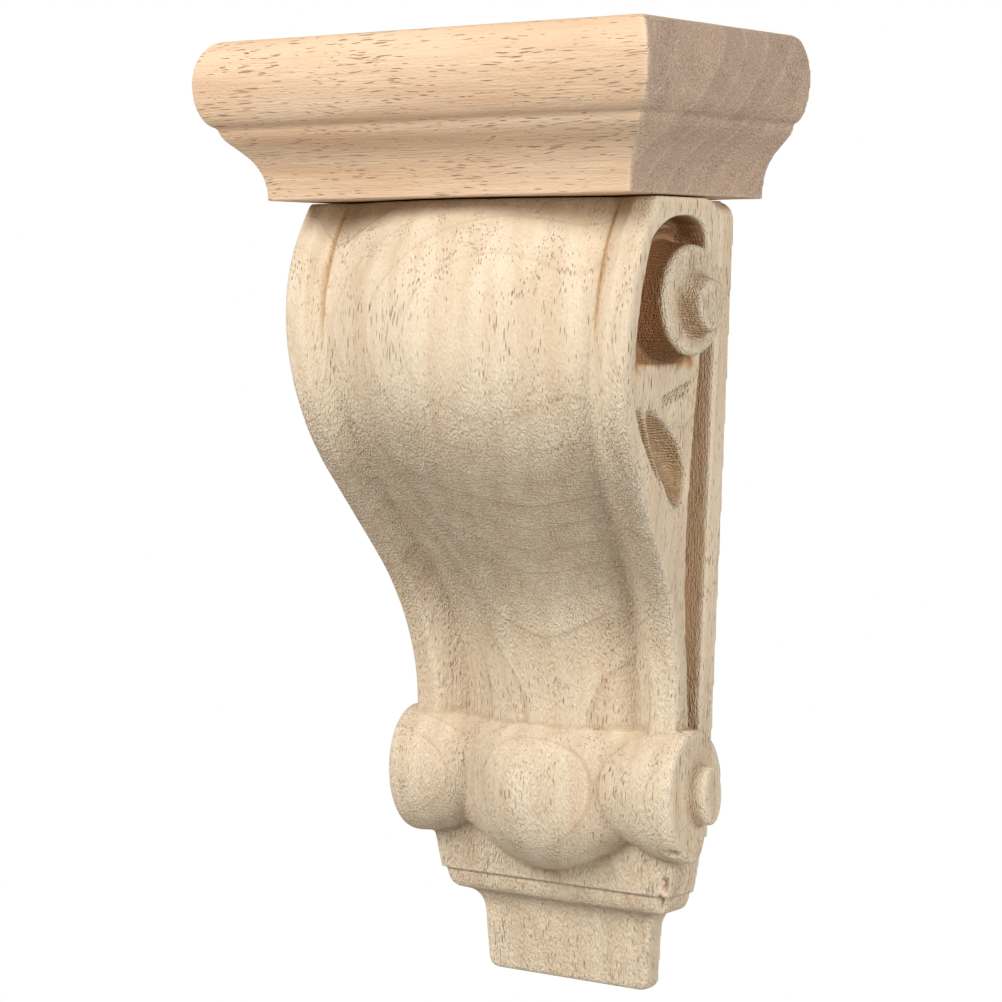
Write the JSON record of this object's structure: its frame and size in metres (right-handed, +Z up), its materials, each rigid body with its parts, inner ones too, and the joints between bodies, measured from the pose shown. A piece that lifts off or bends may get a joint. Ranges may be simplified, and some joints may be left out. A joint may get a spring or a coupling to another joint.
{
  "type": "carved wood corbel",
  "caption": "Wall corbel of raw carved wood: moulded cap on a scrolled body with volute eyes, turned lower roll, bell and foot, to carry a shelf or trim an opening.",
  "frame": {"origin": "on the flat back, in the middle of the width, halfway up the whole corbel: the face that is fixed to the wall", "axes": "+X to the right seen from the front, +Y into the wall, +Z up; the carved front faces -Y"},
  "size_m": [0.113, 0.0604, 0.2],
  "materials": {
    "cap_wood": "raw sanded hardwood, grain along the wall, warm pinkish tan",
    "body_wood": "raw carved hardwood, upright grain, cream yellow with light tool marks"
  },
  "bodies": {
    "root": {"cap": "cap_wood", "corbel_body": "body_wood"}
  },
  "joints": []
}
